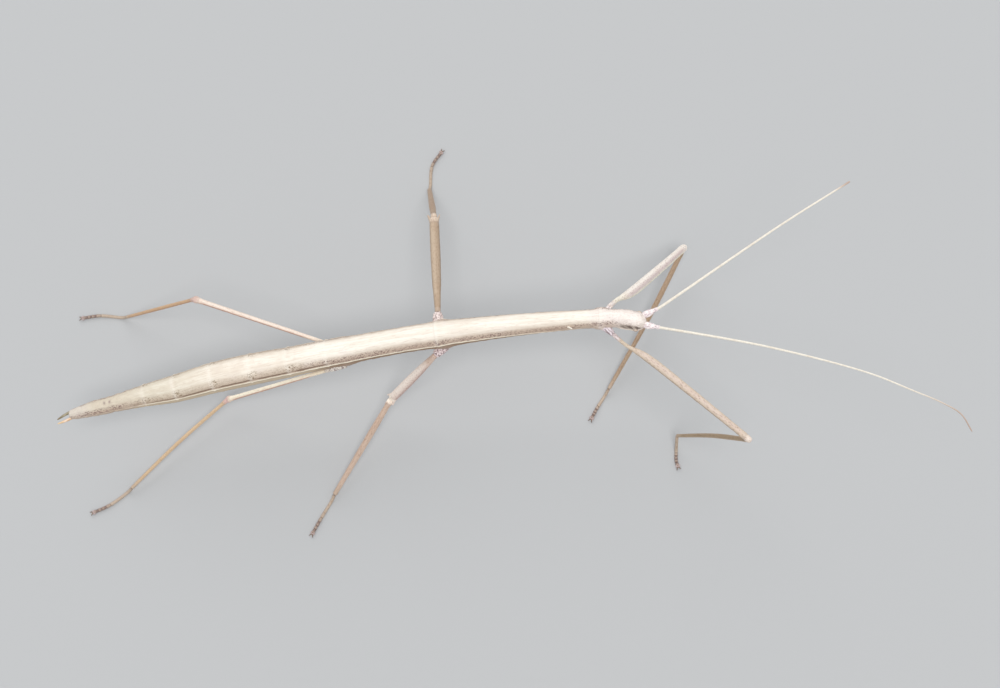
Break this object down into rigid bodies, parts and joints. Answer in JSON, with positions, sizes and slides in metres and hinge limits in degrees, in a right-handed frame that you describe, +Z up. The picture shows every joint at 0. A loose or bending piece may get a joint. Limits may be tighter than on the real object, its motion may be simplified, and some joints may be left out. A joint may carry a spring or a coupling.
{
  "type": "stick insect",
  "caption": "Life-size stick insect standing on slender bent legs, its twig-like body sloping to a tapered tail and its thread-like feelers held out in front.",
  "frame": {"origin": "on the floor, under the middle of the whole insect with its legs and feelers", "axes": "+X towards the head, along the longest extent; +Y to the insect's left; +Z up, the shortest extent"},
  "size_m": [0.1362, 0.0662, 0.0312],
  "materials": {
    "body_cuticle": "pale straw cuticle with fine lengthwise streaks and brown specks, pinker on the head, satin",
    "operculum": "pinkish brown cuticle, finely grained, satin",
    "horn": "amber brown horn of the cerci and claws, satin",
    "eye": "brown compound eye with fine facets, glossy",
    "mouthparts": "tan cuticle, darker at the jaws, satin",
    "feeler": "straw with faint rings, satin",
    "fore_leg": "pinkish beige with a pale ridge, brown below the knee, satin",
    "mid_leg": "mauve brown, finely grained, satin",
    "hind_leg": "straw to pinkish beige, orange brown below the knee, satin"
  },
  "bodies": {
    "root": {"head": "body_cuticle", "prothorax": "body_cuticle", "mesothorax": "body_cuticle", "metathorax": "body_cuticle", "abdomen_2": "body_cuticle", "abdomen_3": "body_cuticle", "abdomen_4": "body_cuticle", "abdomen_5": "body_cuticle", "abdomen_6": "body_cuticle", "abdomen_7": "body_cuticle", "abdomen_8": "body_cuticle", "abdomen_9": "body_cuticle", "abdomen_10": "body_cuticle", "operculum": "operculum", "cercus_left": "horn", "cercus_right": "horn", "eye_left": "eye", "eye_right": "eye", "mouthparts": "mouthparts", "antenna_left_base": "feeler", "antenna_left_near": "feeler", "antenna_left_far": "feeler", "antenna_right_base": "feeler", "antenna_right_near": "feeler", "antenna_right_far": "feeler", "fore_left_coxa": "fore_leg", "fore_left_femur": "fore_leg", "fore_left_tibia": "fore_leg", "fore_left_tarsus": "fore_leg", "fore_right_coxa": "fore_leg", "fore_right_femur": "fore_leg", "fore_right_tibia": "fore_leg", "fore_right_tarsus": "fore_leg", "mid_left_coxa": "mid_leg", "mid_left_femur": "mid_leg", "mid_left_tibia": "mid_leg", "mid_left_tarsus": "mid_leg", "mid_right_coxa": "mid_leg", "mid_right_femur": "mid_leg", "mid_right_tibia": "mid_leg", "mid_right_tarsus": "mid_leg", "hind_left_coxa": "hind_leg", "hind_left_femur": "hind_leg", "hind_left_tibia": "hind_leg", "hind_left_tarsus": "hind_leg", "hind_right_coxa": "hind_leg", "hind_right_femur": "hind_leg", "hind_right_tibia": "hind_leg", "hind_right_tarsus": "hind_leg"}
  },
  "joints": []
}
